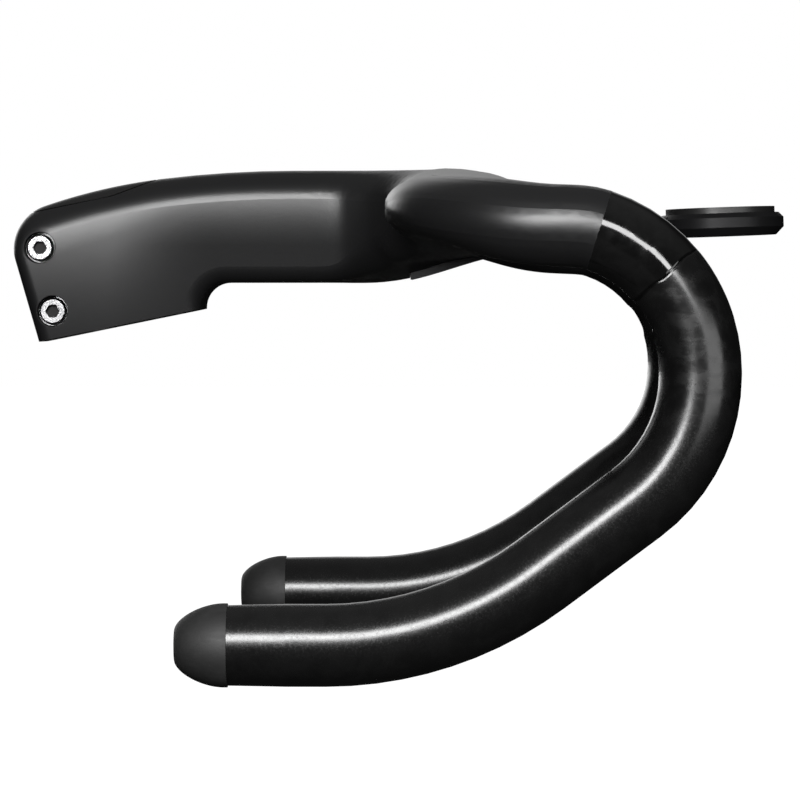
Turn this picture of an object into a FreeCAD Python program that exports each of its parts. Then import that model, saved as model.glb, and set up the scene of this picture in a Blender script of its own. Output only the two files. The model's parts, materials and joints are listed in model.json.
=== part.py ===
import FreeCAD, Part
import math
import os
from FreeCAD import Placement, Rotation, Vector

# Integrated drop handlebar and stem, in millimetres.
# Frame: origin where the steerer axis meets the underside of the stem collar,
# +X forward, +Y to the rider's left, +Z up with the bar in its riding position.

SIZES = [
    # steerer collar and stem
    ("steerer_lean", 11.5, "angle of the steerer axis, leaning back, degrees"),
    ("steerer_bore", 28.6, "bore for the steerer tube"),
    ("stem_width", 42.0, "width of the stem"),
    ("stem_roof", 49.2, "height of the stem's top"),
    ("stem_floor", 13.9, "height of the stem's underside"),
    ("stem_end", 57.0, "where the plain stem ends and the blend to the tops begins"),
    ("shoulder_radius", 9.0, "rounding of the stem's upper edges"),
    ("chine_radius", 5.0, "rounding of the stem's lower edges"),
    ("heel_edge_radius", 4.0, "rounding of the collar's rear edges"),
    ("roof_turn", 7.0, "turn of the long arc on the stem's top, degrees"),
    ("roof_radius", 345.0, "radius of that arc"),
    ("crown_turn", 12.0, "turn of the arc over the steerer, degrees"),
    ("crown_radius", 182.0, "radius of that arc"),
    ("heel_radius", 14.0, "radius of the rear upper corner in side view"),
    ("heel_rake", 16.2, "rake of the collar's rear face, degrees"),
    ("collar_toe", 28.3, "collar length in front of the steerer axis"),
    ("collar_throat", 8.0, "radius where the collar meets the stem's underside"),
    # tops
    ("tops_rear", 90.0, "rear edge of the tops"),
    ("tops_chord", 41.5, "fore and aft depth of the tops"),
    ("blend_radius", 24.0, "plan radius between the stem's side and the tops"),
    ("belly_start", 82.0, "where the underside begins to rise to the tops"),
    ("belly_end", 131.0, "where it has risen"),
    ("root_floor", 24.1, "height of the tops' underside beside the stem"),
    ("tip_roof", 44.7, "height of the tops' upper face at the outer bend"),
    ("tip_floor", 25.6, "height of the tops' underside at the outer bend"),
    ("tops_nose", 15.0, "depth of the rounding of the tops' edges"),
    ("tops_brow", 26.0, "depth of the rounding of the tops' upper front edge"),
    # outer bends, hooks and drops
    ("half_width", 200.0, "middle of the bar to the axis of a drop"),
    ("bend_radius", 36.0, "plan radius of the outer bend"),
    ("bend_height", 29.4, "height of the bar's axis at the end of that bend"),
    ("bend_dive", 9.0, "downward angle of the bar there, degrees"),
    ("bend_full", 65.0, "turn by which the bend has the tube's height, degrees"),
    ("tube_diameter", 24.0, "outer diameter of hooks and drops"),
    ("seam_height", 28.3, "height of the tube's axis at the hood seam"),
    ("seam_run", 5.75, "forward run from the outer bend to the hood seam"),
    ("seam_dive", 18.4, "downward angle of the tube at the hood seam, degrees"),
    ("reach", 71.3, "middle of the tops to the foremost axis of the hook"),
    ("hook_front", 1.0, "upright run at the front of the hook"),
    ("hook_radius", 46.2, "radius of the lower hook"),
    ("drop", 120.2, "hood seam to the axis of the drop"),
    ("drop_slope", 36.7, "slope between hook and drop, degrees"),
    ("drop_radius", 104.2, "radius where that slope levels out"),
    ("tail", 11.4, "level part of the drop before its end"),
    ("tail_taper", 17.0, "tapered end of the drop"),
    ("tail_diameter", 23.4, "outer diameter at the open end"),
    ("wall", 2.2, "thickness of the laminate"),
    # steerer clamp
    ("collar_height", 40.3, "height of the collar along the steerer, up to the cover's seat"),
    ("clamp_slit", 2.0, "width of the slit behind the steerer"),
    ("bolt_setback", 17.7, "steerer axis to the pinch bolts"),
    ("bolt_low", 8.6, "lower pinch bolt above the collar's underside"),
    ("bolt_spacing", 20.4, "distance between the pinch bolts"),
    ("bolt_thread", 5.0, "thread of the pinch bolts"),
    ("bolt_length", 33.0, "length of the pinch bolts under the head"),
    ("bolt_head", 8.5, "head diameter of the pinch bolts"),
    ("bolt_head_height", 5.0, "head height of the pinch bolts"),
    ("bolt_key", 4.0, "hexagon key of the pinch bolts"),
    ("bolt_chamfer", 0.6, "chamfer of the pinch bolt heads"),
    ("bolt_play", 0.4, "clearance of the pinch bolts in their holes, on diameter"),
    ("counterbore_play", 1.3, "clearance round the bolt heads, on diameter"),
    ("counterbore_depth", 7.4, "depth of the counterbores in the stem's side"),
    ("washer_diameter", 9.4, "diameter of the washers"),
    ("washer_thickness", 1.0, "thickness of the washers"),
    ("nut_diameter", 8.0, "diameter of the barrel nuts"),
    ("nut_length", 10.0, "length of the barrel nuts under the flange"),
    ("nut_flange", 9.4, "flange diameter of the barrel nuts"),
    ("nut_flange_height", 1.2, "flange thickness of the barrel nuts"),
    ("nut_sink", 1.4, "depth of the nut's flange below the stem's side"),
    ("fit", 0.1, "clearance of pieces that sit in a bore, on diameter"),
    # brake hoses
    ("bore_wall", 2.6, "wall between the steerer bore and the hose passage"),
    ("passage_depth", 8.5, "fore and aft size of the hose passage"),
    ("passage_width", 22.0, "width of the hose passage"),
    ("chamber_width", 30.0, "width of the hollow in front of the steerer"),
    ("cavity_start", 39.0, "where the hollow of the stem has its full section"),
    ("port_width", 7.0, "width of the hose port in each hook"),
    ("port_length", 12.0, "length of the hose port"),
    ("port_dive", 62.0, "downward angle of the hook at the hose port, degrees"),
    # cover over the steerer
    ("cover_ramp", 7.8, "front end of the cover's flat seat, ahead of the steerer axis"),
    ("cover_ramp_angle", 20.8, "angle of the seat in front of it, degrees"),
    ("cover_gap", 0.25, "joint line round the cover"),
    ("cover_skirt", 2.0, "depth of the cover's ring, in a counterbore round the steerer"),
    ("cover_skirt_wall", 1.2, "wall of that ring"),
    ("cover_skirt_play", 0.5, "clearance of that ring round the steerer"),
    # bar end plugs
    ("plug_flange", 24.4, "diameter of a plug's head"),
    ("plug_head", 15.5, "length of a plug's head"),
    ("plug_face", 8.5, "diameter of the flat end of the head"),
    ("plug_stem", 20.0, "length of the part inside the tube"),
    ("plug_core", 13.0, "diameter of that part between its ribs"),
    ("plug_ribs", 3, "number of ribs"),
    ("plug_rib", 2.4, "thickness of a rib"),
    # computer mount
    ("base_rear", 93.5, "rear end of the mount's base plate"),
    ("base_front", 123.6, "front end of the base plate"),
    ("base_width", 24.0, "width of the base plate"),
    ("base_thickness", 3.0, "thickness of the base plate"),
    ("base_proud", 0.5, "how far the base plate stands below the underside"),
    ("base_gap", 0.5, "gap round the base plate in its recess"),
    ("boss_height", 10.5, "thickness of the laminate over the base plate"),
    ("base_screw", 4.0, "thread of the base plate's screws"),
    ("base_screw_head", 7.6, "head diameter of those screws"),
    ("base_screw_sink", 0.3, "depth of those heads below the plate's lower face"),
    ("base_screw_length", 8.0, "length of those screws"),
    ("base_screw_key", 2.5, "hexagon key of those screws"),
    ("base_screw_rear", 100.9, "place of the rear screw"),
    ("base_screw_front", 112.7, "place of the front screw"),
    ("base_insert", 6.0, "diameter of the bonded inserts"),
    ("base_insert_length", 6.0, "length of the bonded inserts"),
    ("arm_width", 18.0, "width of the arm"),
    ("arm_thickness", 5.0, "thickness of the arm"),
    ("arm_root", 2.0, "thickness of the arm where it leaves the base plate"),
    ("cup_centre", 191.6, "middle of the cup in front of the steerer"),
    ("cup_height", 28.6, "height of the cup's underside"),
    ("cup_tilt", 2.0, "upward tilt of the cup, degrees"),
    ("cup_diameter", 40.0, "diameter of the cup"),
    ("cup_thickness", 7.1, "thickness of the cup"),
    ("cup_top_chamfer", 1.5, "height of the upper chamfer"),
    ("cup_low_chamfer", 2.5, "height of the lower chamfer"),
    ("cradle_diameter", 34.5, "diameter of the bayonet cradle"),
    ("cradle_sink", 4.2, "depth of the cradle in the cup"),
    ("cradle_proud", 1.9, "height of the cradle above the cup"),
    ("bayonet_bore", 25.0, "bore of the bayonet"),
    ("bayonet_track", 31.0, "diameter of the track under the lips"),
    ("bayonet_lip", 1.4, "thickness of the lips"),
    ("bayonet_depth", 3.2, "depth of the bayonet"),
    ("bayonet_slot", 10.0, "width of the entry slots"),
    ("cradle_screw", 2.5, "thread of the cradle's screws"),
    ("cradle_screw_head", 4.6, "head diameter of those screws"),
    ("cradle_screw_head_height", 1.6, "head height of those screws"),
    ("cradle_screw_spacing", 14.0, "distance between those screws"),
]

doc = FreeCAD.newDocument("integrated_handlebar")
sheet = doc.addObject("Spreadsheet::Sheet", "sizes")
for row, (alias, value, note) in enumerate(SIZES, start=1):
    sheet.set("A%d" % row, alias)
    sheet.set("B%d" % row, str(value))
    sheet.set("C%d" % row, note)
    sheet.setAlias("B%d" % row, alias)
doc.recompute()


def size(alias):
    return float(sheet.get(alias))


def blend(share):
    """Smooth step from 0 to 1."""
    share = min(max(share, 0.0), 1.0)
    return share * share * (3.0 - 2.0 * share)


def between(low, high, share):
    return low + (high - low) * share


def feature(name, shape):
    obj = doc.addObject("Part::Feature", name)
    obj.Shape = shape
    return obj


def boolean(kind, name, base, tool):
    obj = doc.addObject("Part::" + kind, name)
    obj.Base = base
    obj.Tool = tool
    return obj


def loft(name, sections):
    obj = doc.addObject("Part::Loft", name)
    obj.Sections = sections
    obj.Solid = True
    obj.Ruled = False
    return obj


# Sections of the moulding.
# Each is a closed wire of eight conic arcs, so that a stem, a wing and a tube can be lofted together.

def conic(start, corner, end, weight):
    curve = Part.BezierCurve()
    curve.setPoles([start, corner, end])
    curve.setWeight(2, weight)
    return curve.toShape()


def closed_section(points, corners, weights, origin, across, up):
    def place(point):
        return origin + across * point[0] + up * point[1]

    edges = []
    for index, weight in enumerate(weights):
        start = points[index]
        end = points[(index + 1) % len(points)]
        edges.append(conic(place(start), place(corners[index]), place(end), weight))
    return Part.Wire(edges)


def middle(first, second):
    return ((first[0] + second[0]) / 2.0, (first[1] + second[1]) / 2.0)


QUARTER = math.cos(math.pi / 4.0)
EIGHTH = math.cos(math.pi / 8.0)
TOUCH = 0.000001
NOSE = 0.45  # height of the rounding of the tops' edges, as a share of their thickness
THROAT = 0.95  # most of the collar's front face that its throat may take
DOME = 0.5  # fullness of the plugs' domes
ARM_SWELL = 0.7  # share of the mount's arm over which it grows to its thickness

# Places of the lofted sections: degrees round the blend and the outer bend, shares along the tops
BLEND_TURNS = [0.0, 20.0, 36.0, 45.0, 50.0]
BLEND_LATE_TURNS = [66.0, 78.0, 90.0]
TOPS_SHARES = [0.3, 0.65, 1.0]
BEND_TURNS = [30.0, 55.0, 75.0, 90.0]


def box_section(origin, across, near, far, roof, floors, upper, lower):
    """A rounded box from near to far along across.

    upper holds the near depth, the far depth and the height of its upper roundings, lower the depth and the
    height of its lower ones.

    floors holds the height of the underside at its near end, the height of the line that it settles on at
    its far end, and that line's slope.
    """
    floor_near, floor_far, slope = floors
    low_near = near + lower[0]
    low_far = far - lower[0]
    low_mid = (low_near + low_far) / 2.0
    settle = floor_far - slope * (low_far - low_mid)
    start_slope = (settle - floor_near) / (low_mid - low_near)
    corner_near = floor_near - start_slope * lower[0]
    corner_far = floor_far + slope * lower[0]
    points = [
        (near + upper[0], roof),
        (far - upper[1], roof),
        (far, roof - upper[2]),
        (far, corner_far + lower[1]),
        (low_far, floor_far),
        (low_near, floor_near),
        (near, corner_near + lower[1]),
        (near, roof - upper[2]),
    ]
    corners = [
        middle(points[0], points[1]),
        (far, roof),
        middle(points[2], points[3]),
        (far, corner_far),
        (low_mid, settle),
        (near, corner_near),
        middle(points[6], points[7]),
        (near, roof),
    ]
    weights = [1.0, QUARTER, 1.0, QUARTER, 1.0, QUARTER, 1.0, QUARTER]
    return closed_section(points, corners, weights, origin, across, Vector(0, 0, 1))


def oval_section(origin, across, up, half_depth, half_height):
    """An ellipse in eight arcs, in the same order as the edges of box_section."""
    points = []
    corners = []
    for index in range(8):
        angle = math.radians(112.5 - 45.0 * index)
        points.append((half_depth * math.cos(angle), half_height * math.sin(angle)))
        turn = math.radians(90.0 - 45.0 * index)
        corners.append((half_depth * math.cos(turn) / EIGHTH, half_height * math.sin(turn) / EIGHTH))
    return closed_section(points, corners, [EIGHTH] * 8, origin, across, up)


def belly(x):
    """Height and slope of the underside along the middle of the bar."""
    span = size("belly_end") - size("belly_start")
    share = min(max((x - size("belly_start")) / span, 0.0), 1.0)
    rise = size("root_floor") - size("stem_floor")
    return size("stem_floor") + rise * blend(share), rise / span * 6.0 * share * (1.0 - share)


def underside(start, crossing, end):
    """Height and slope at end of the parabola from start that has the crossing's height and slope there."""
    place, height, slope = crossing
    share = (place - start[0]) / (end - start[0])
    bow = (start[1] - height + slope * (place - start[0])) / (share * share)
    end_slope = slope + 2.0 * (1.0 - share) / (end - start[0]) * bow
    end_height = height - (1.0 - share) ** 2 * bow + end_slope * (end - place)
    return end_height, end_slope


def blend_sections(inset, start):
    """Stem end, then a fan of sections about the upright axis of the blend between stem and tops."""
    radius = size("blend_radius")
    half = size("stem_width") / 2.0
    centre = Vector(size("tops_rear") - radius, half + radius, 0)
    roof = size("stem_roof") - inset
    nose = NOSE * (size("stem_roof") - size("root_floor"))
    sections = []
    for station in (start, (start + centre.x) / 2.0):
        origin = Vector(station, centre.y, 0)
        floor = size("stem_floor") + inset
        sections.append(box_section(
            origin, Vector(0, -1, 0), radius + inset, radius + size("stem_width") - inset, roof,
            (floor, floor, 0.0),
            [size("shoulder_radius") - inset] * 3,
            [size("chine_radius") - inset] * 2))
    centre_angle = math.degrees(math.atan2(radius + size("tops_chord"), centre.y))
    for turn in BLEND_TURNS + [centre_angle] + BLEND_LATE_TURNS:
        share = turn / 90.0
        angle = math.radians(turn)
        across = Vector(math.sin(angle), -math.cos(angle), 0)
        to_side = (radius + size("stem_width")) / max(math.cos(angle), TOUCH)
        to_front = (radius + size("tops_chord")) / max(math.sin(angle), TOUCH)
        far = min(to_side, to_front)
        depth = between(size("chine_radius"), size("tops_nose"), share)
        raised = between(size("chine_radius"), nose, share)
        shoulder = between(size("shoulder_radius"), size("tops_nose"), share)
        brow = between(size("shoulder_radius"), size("tops_brow"), blend(2.0 * share))
        crown = between(size("shoulder_radius"), nose, share)
        near_floor = between(size("stem_floor"), size("root_floor"), blend(share))
        meets = min(centre.y / max(math.cos(angle), TOUCH), far - depth)
        height, slope = belly(centre.x + meets * math.sin(angle))
        level = blend((turn - centre_angle) / (90.0 - centre_angle))
        height = between(height, size("root_floor"), level)
        slope = between(slope * math.sin(angle), 0.0, level)
        far_floor, slope = underside((radius + depth, near_floor), (meets, height, slope), far - depth)
        sections.append(box_section(
            centre, across, radius + inset, far - inset, roof,
            (near_floor + inset, far_floor + inset, slope),
            (shoulder - inset, brow - inset, crown - inset), (depth - inset, raised - inset)))
    return sections


def tops_sections(inset):
    """Straight tops, from beside the stem to the outer bend."""
    root = size("stem_width") / 2.0 + size("blend_radius")
    tip = size("half_width") - size("bend_radius")
    sections = []
    for share in TOPS_SHARES:
        roof = between(size("stem_roof"), size("tip_roof"), blend(share))
        floor = between(size("root_floor"), size("tip_floor"), blend(share))
        height = NOSE * (roof - floor)
        origin = Vector(size("tops_rear"), between(root, tip, share), 0)
        sections.append(box_section(
            origin, Vector(1, 0, 0), inset, size("tops_chord") - inset, roof - inset,
            (floor + inset, floor + inset, 0.0),
            (size("tops_nose") - inset, size("tops_brow") - inset, height - inset),
            (size("tops_nose") - inset, height - inset)))
    return sections


def bend_sections(inset):
    """Outer bend, where the flat tops turn forward and become a round tube."""
    radius = size("bend_radius")
    middle_x = size("tops_rear") + size("tops_chord") / 2.0
    tip = size("half_width") - radius
    tube = size("tube_diameter") / 2.0
    tip_height = (size("tip_roof") + size("tip_floor")) / 2.0
    tip_half = (size("tip_roof") - size("tip_floor")) / 2.0
    sections = []
    for turn in BEND_TURNS:
        share = blend(turn / 90.0)
        swell = blend(turn / size("bend_full"))
        angle = math.radians(turn)
        dive = math.radians(size("bend_dive") * share)
        across = Vector(math.cos(angle), -math.sin(angle), 0)
        ahead = Vector(math.sin(angle) * math.cos(dive), math.cos(angle) * math.cos(dive), -math.sin(dive))
        height = between(tip_height, size("bend_height"), share)
        origin = Vector(middle_x + radius * (1.0 - math.cos(angle)), tip + radius * math.sin(angle), height)
        sections.append(oval_section(
            origin, across, across.cross(ahead),
            between(size("tops_chord") / 2.0, tube, share) - inset, between(tip_half, tube, swell) - inset))
    dive = math.radians(size("seam_dive"))
    seam = Vector(middle_x + radius + size("seam_run"), size("half_width"), size("seam_height"))
    sections.append(oval_section(
        seam, Vector(0, -1, 0), Vector(math.sin(dive), 0, math.cos(dive)), tube - inset, tube - inset))
    return sections


def half_shell(name, inset, start):
    """Left half of the stem blend, tops and outer bend, cut off on the middle plane."""
    wires = blend_sections(inset, start) + tops_sections(inset) + bend_sections(inset)
    parts = [feature("%s_section_%02d" % (name, index), wire) for index, wire in enumerate(wires)]
    whole = loft(name + "_loft", parts)
    room = 2.0 * (size("half_width") + size("reach") + size("tops_rear"))
    keep = doc.addObject("Part::Box", name + "_left_side")
    keep.Length = room
    keep.Width = room
    keep.Height = room
    keep.Placement = Placement(Vector(-room / 2.0, 0, -room / 2.0), Rotation())
    return boolean("Common", name, whole, keep)


# Hooks and drops: one round tube along arcs and straight runs in an upright plane.

def hook_walk():
    """Edges of the tube's axis from the hood seam to the taper, and the end of that axis."""
    dive = math.radians(size("seam_dive"))
    slope = math.radians(180.0 - size("drop_slope"))
    upper_radius = (size("reach") - size("bend_radius") - size("seam_run")) / (1.0 - math.sin(dive))
    point = seam_point()
    edges = []

    def arc(start, angle, end_angle, radius):
        def at(turn):
            return start + Vector(radius * (math.sin(turn) - math.sin(angle)), 0,
                                  radius * (math.cos(turn) - math.cos(angle)))
        end = at(end_angle)
        edges.append(Part.Arc(start, at((angle + end_angle) / 2.0), end).toShape())
        return end

    def run(start, angle, length):
        end = start + Vector(math.cos(angle), 0, -math.sin(angle)) * length
        edges.append(Part.LineSegment(start, end).toShape())
        return end

    point = arc(point, dive, math.pi / 2.0, upper_radius)
    point = run(point, math.pi / 2.0, size("hook_front"))
    point = arc(point, math.pi / 2.0, slope, size("hook_radius"))
    level = seam_point().z - size("drop") + size("drop_radius") * (1.0 + math.cos(slope))
    point = run(point, slope, (point.z - level) / math.sin(slope))
    point = arc(point, slope, math.pi, size("drop_radius"))
    point = run(point, math.pi, size("tail"))
    return edges, point


def seam_point():
    ahead = size("tops_rear") + size("tops_chord") / 2.0 + size("bend_radius") + size("seam_run")
    return Vector(ahead, size("half_width"), size("seam_height"))


def drop_tube(name, inset):
    """Swept hook and drop with the tapered end."""
    edges, tail_start = hook_walk()
    path = feature(name + "_axis", Part.Wire(edges))
    dive = math.radians(size("seam_dive"))
    ring = doc.addObject("Part::Circle", name + "_ring")
    ring.setExpression("Radius", "sizes.tube_diameter / 2 - " + inset)
    ring.Placement = Placement(
        seam_point(), Rotation(Vector(0, 0, 1), Vector(math.cos(dive), 0, -math.sin(dive))))
    tube = doc.addObject("Part::Sweep", name + "_sweep")
    tube.Sections = [ring]
    tube.Spine = (path, ["Edge%d" % (index + 1) for index in range(len(edges))])
    tube.Solid = True
    taper = doc.addObject("Part::Cone", name + "_taper")
    taper.setExpression("Radius1", "sizes.tube_diameter / 2 - " + inset)
    taper.setExpression("Radius2", "sizes.tail_diameter / 2 - " + inset)
    taper.setExpression("Height", "sizes.tail_taper")
    taper.Placement = Placement(tail_start, BACKWARD)
    return [tube, taper]


BACKWARD = Rotation(Vector(0, 0, 1), Vector(-1, 0, 0))
LEFTWARD = Rotation(Vector(0, 0, 1), Vector(0, 1, 0))


def drop_end(side):
    """Middle of the open end of a drop; side is 1 on the left and -1 on the right."""
    tail_start = hook_walk()[1]
    return Vector(tail_start.x - size("tail_taper"), side * size("half_width"), tail_start.z)


def fuse(name, parts):
    obj = doc.addObject("Part::MultiFuse", name)
    obj.Shapes = parts
    return obj


def mirror(name, source):
    obj = doc.addObject("Part::Mirroring", name)
    obj.Source = source
    obj.Normal = Vector(0, 1, 0)
    return obj


def cylinder(name, radius, height, placement):
    obj = doc.addObject("Part::Cylinder", name)
    obj.setExpression("Radius", radius)
    obj.setExpression("Height", height)
    obj.Placement = placement
    return obj


def cone(name, low_radius, high_radius, height, placement):
    obj = doc.addObject("Part::Cone", name)
    obj.setExpression("Radius1", low_radius)
    obj.setExpression("Radius2", high_radius)
    obj.setExpression("Height", height)
    obj.Placement = placement
    return obj


def hexagon(name, key, height, placement):
    obj = doc.addObject("Part::Prism", name)
    obj.Polygon = 6
    obj.setExpression("Circumradius", key + " / sqrt(3)")
    obj.setExpression("Height", height)
    obj.Placement = placement
    return obj


def extrusion(name, wire, width):
    """A side-view outline made as wide as asked, evenly about the middle plane."""
    obj = doc.addObject("Part::Extrusion", name)
    obj.Base = feature(name + "_outline", wire)
    obj.DirMode = "Custom"
    obj.Dir = Vector(0, 1, 0)
    obj.setExpression("LengthFwd", width)
    obj.Symmetric = True
    obj.Solid = True
    return obj


def polygon(points):
    return Part.makePolygon(points + points[:1])


def group(name, parts):
    obj = doc.addObject("Part::Compound", name)
    obj.Links = parts
    return obj


# Frame of the steerer: ahead across it, along up its axis.

LEAN = math.radians(size("steerer_lean"))
AHEAD = Vector(math.cos(LEAN), 0, math.sin(LEAN))
ALONG = Vector(-math.sin(LEAN), 0, math.cos(LEAN))
STEERER = Rotation(Vector(0, 1, 0), -size("steerer_lean"))


def at_collar(ahead, side, along):
    return AHEAD * ahead + Vector(0, side, 0) + ALONG * along


# Stem blank: its side outline made solid, with rounded edges.

def stem_corners():
    """Corner points of the stem's side outline, and the centres of its upper arcs."""
    slopes = [0.0, size("roof_turn"), size("roof_turn") + size("crown_turn"), 90.0 + size("heel_rake")]
    slopes = [math.radians(value) for value in slopes]
    radii = [size("roof_radius"), size("crown_radius"), size("heel_radius")]
    points = [Vector(size("stem_end"), 0, size("stem_roof"))]
    middles = []
    for index, radius in enumerate(radii):
        start = slopes[index]
        end = slopes[index + 1]
        centre = points[-1] - Vector(-math.sin(start), 0, math.cos(start)) * radius
        halfway = (start + end) / 2.0
        middles.append(centre + Vector(-math.sin(halfway), 0, math.cos(halfway)) * radius)
        points.append(centre + Vector(-math.sin(end), 0, math.cos(end)) * radius)
    fall = Vector(-math.cos(slopes[3]), 0, -math.sin(slopes[3]))
    heel = points[3] - fall * (points[3].dot(ALONG) / fall.dot(ALONG))
    toe = AHEAD * size("collar_toe")
    throat = min(size("collar_throat"), THROAT * (size("stem_floor") - toe.z))
    throat_low = Vector(toe.x, 0, size("stem_floor") - throat)
    throat_high = Vector(toe.x + throat, 0, size("stem_floor"))
    bow = throat * (1.0 - QUARTER)
    throat_mid = Vector(toe.x + bow, 0, size("stem_floor") - bow)
    front = Vector(size("stem_end"), 0, size("stem_floor"))
    return points, middles, heel, toe, (throat_low, throat_mid, throat_high), front


def stem_blank():
    points, middles, heel, toe, throat, front = stem_corners()
    rounds = [
        (points[0], middles[0], points[1], "shoulder_radius", "shoulder_radius"),
        (points[1], middles[1], points[2], "shoulder_radius", "shoulder_radius"),
        (points[2], middles[2], points[3], "shoulder_radius", "heel_edge_radius"),
        (points[3], None, heel, "heel_edge_radius", "heel_edge_radius"),
        (toe, None, throat[0], "chine_radius", "chine_radius"),
        (throat[0], throat[1], throat[2], "chine_radius", "chine_radius"),
        (throat[2], None, front, "chine_radius", "chine_radius"),
    ]
    edges = [Part.LineSegment(heel, toe).toShape(), Part.LineSegment(front, points[0]).toShape()]
    for start, halfway, end, _, _ in rounds:
        if halfway is None:
            edges.append(Part.LineSegment(start, end).toShape())
        else:
            edges.append(Part.Arc(start, halfway, end).toShape())
    outline = Part.Wire(Part.__sortEdges__(edges))
    square = extrusion("stem_square", outline, "sizes.stem_width")
    doc.recompute()
    rounded = doc.addObject("Part::Fillet", "stem_blank")
    rounded.Base = square
    chosen = []
    for index, edge in enumerate(square.Shape.Edges, start=1):
        ends = [edge.valueAt(edge.FirstParameter), edge.valueAt(edge.LastParameter)]
        if abs(ends[0].y - ends[1].y) > TOUCH:
            continue
        flat = [Vector(end.x, 0, end.z) for end in ends]
        for start, _, end, first, last in rounds:
            if flat[0].distanceToPoint(start) < TOUCH and flat[1].distanceToPoint(end) < TOUCH:
                chosen.append((index, size(first), size(last)))
            if flat[0].distanceToPoint(end) < TOUCH and flat[1].distanceToPoint(start) < TOUCH:
                chosen.append((index, size(last), size(first)))
    rounded.Edges = chosen
    return rounded


# Handlebar moulding: outer form, hollow, and everything cut into it.

def joined(low, high):
    """Closed outline of two curves and the straight lines between their ends."""
    rear = Part.LineSegment(high.StartPoint, low.StartPoint).toShape()
    front = Part.LineSegment(low.EndPoint, high.EndPoint).toShape()
    return Part.Wire(Part.__sortEdges__([low.toShape(), front, high.toShape(), rear]))


def belly_band(low, high, rear, front):
    """Side outline of a strip that follows the underside, from low to high above it."""
    count = 7
    stations = [between(rear, front, index / (count - 1.0)) for index in range(count)]
    curves = []
    for offset in (low, high):
        curve = Part.BSplineCurve()
        curve.interpolate([Vector(x, 0, belly(x)[0] + offset) for x in stations])
        curves.append(curve)
    return joined(*curves)


def hose_chamber():
    """Room in the stem in front of the steerer, above the hose passage."""
    rear = size("steerer_bore") / 2.0 + size("bore_wall")
    floor = size("stem_floor") + 2.0 * size("wall")
    roof = size("stem_roof") - 3.0 * size("wall")
    low = (floor - rear * AHEAD.z) / ALONG.z
    front = size("cavity_start") + 2.0 * size("wall")
    points = [
        at_collar(rear, 0, low),
        at_collar(rear, 0, size("collar_height") - 2.0 * size("wall")),
        Vector(front, 0, roof),
        Vector(front, 0, floor),
    ]
    return extrusion("hose_chamber", polygon(points), "sizes.chamber_width")


def hose_passage():
    """Oblong hole through the collar in front of the steerer."""
    radius = size("passage_depth") / 2.0
    ahead = size("steerer_bore") / 2.0 + size("bore_wall") + radius
    reach_up = (size("stem_floor") + size("stem_roof")) / 2.0
    spread = size("passage_width") / 2.0 - radius
    low = -size("collar_height") / 4.0
    holes = []
    for side, word in ((-1, "right"), (1, "left")):
        hole = doc.addObject("Part::Cylinder", "passage_" + word)
        hole.setExpression("Radius", "sizes.passage_depth / 2")
        hole.Height = reach_up - low
        hole.Placement = Placement(at_collar(ahead, side * spread, low), STEERER)
        holes.append(hole)
    web = doc.addObject("Part::Box", "passage_web")
    web.setExpression("Length", "sizes.passage_depth")
    web.setExpression("Width", "sizes.passage_width - sizes.passage_depth")
    web.Height = reach_up - low
    web.Placement = Placement(at_collar(ahead - radius, -spread, low), STEERER)
    return holes + [web]


def hose_port(name):
    """Oblong hole in the inner wall of the left hook."""
    dive = math.radians(size("port_dive"))
    start = math.radians(size("seam_dive"))
    radius = (size("reach") - size("bend_radius") - size("seam_run")) / (1.0 - math.sin(start))
    centre = seam_point() + Vector(radius * (math.sin(dive) - math.sin(start)), 0,
                                   radius * (math.cos(dive) - math.cos(start)))
    inward = Vector(-math.sin(dive), 0, -math.cos(dive))
    forward = Vector(math.cos(dive), 0, -math.sin(dive))
    turn = Rotation(forward, Vector(0, 1, 0), inward, "ZXY")
    spread = (size("port_length") - size("port_width")) / 2.0
    parts = []
    for sign, word in ((-1, "rear"), (1, "front")):
        parts.append(cylinder(
            "%s_%s" % (name, word), "sizes.port_width / 2", "sizes.tube_diameter",
            Placement(centre + forward * (sign * spread), turn)))
    web = doc.addObject("Part::Box", name + "_web")
    web.setExpression("Length", "sizes.port_length - sizes.port_width")
    web.setExpression("Width", "sizes.port_width")
    web.setExpression("Height", "sizes.tube_diameter")
    corner = centre - forward * spread - turn.multVec(Vector(0, size("port_width") / 2.0, 0))
    web.Placement = Placement(corner, turn)
    return fuse(name, parts + [web])


def bolt_places():
    """Middle-plane points of the two pinch bolts."""
    return [at_collar(-size("bolt_setback"), 0, size("bolt_low") + index * size("bolt_spacing"))
            for index in range(2)]


def bolt_bores():
    half = size("stem_width") / 2.0
    flange_seat = half - size("nut_sink") - size("nut_flange_height")
    nut_end = flange_seat - size("nut_length") - size("fit")
    tools = []
    for index, place in enumerate(bolt_places()):
        name = "bolt_bore_%d" % index
        tools.append(cylinder(
            name, "sizes.bolt_thread / 2 + sizes.bolt_play / 2", "sizes.stem_width",
            Placement(place - Vector(0, half, 0), LEFTWARD)))
        tools.append(cylinder(
            name + "_head", "sizes.bolt_head / 2 + sizes.counterbore_play / 2", "2 * sizes.counterbore_depth",
            Placement(place - Vector(0, half + size("counterbore_depth"), 0), LEFTWARD)))
        tools.append(cylinder(
            name + "_nut", "sizes.nut_diameter / 2 + sizes.fit / 2", "sizes.nut_length + 2 * sizes.nut_sink",
            Placement(place + Vector(0, nut_end, 0), LEFTWARD)))
        tools.append(cylinder(
            name + "_flange", "sizes.nut_flange / 2 + sizes.bolt_play / 2", "sizes.stem_width / 4",
            Placement(place + Vector(0, flange_seat, 0), LEFTWARD)))
    return tools


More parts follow.
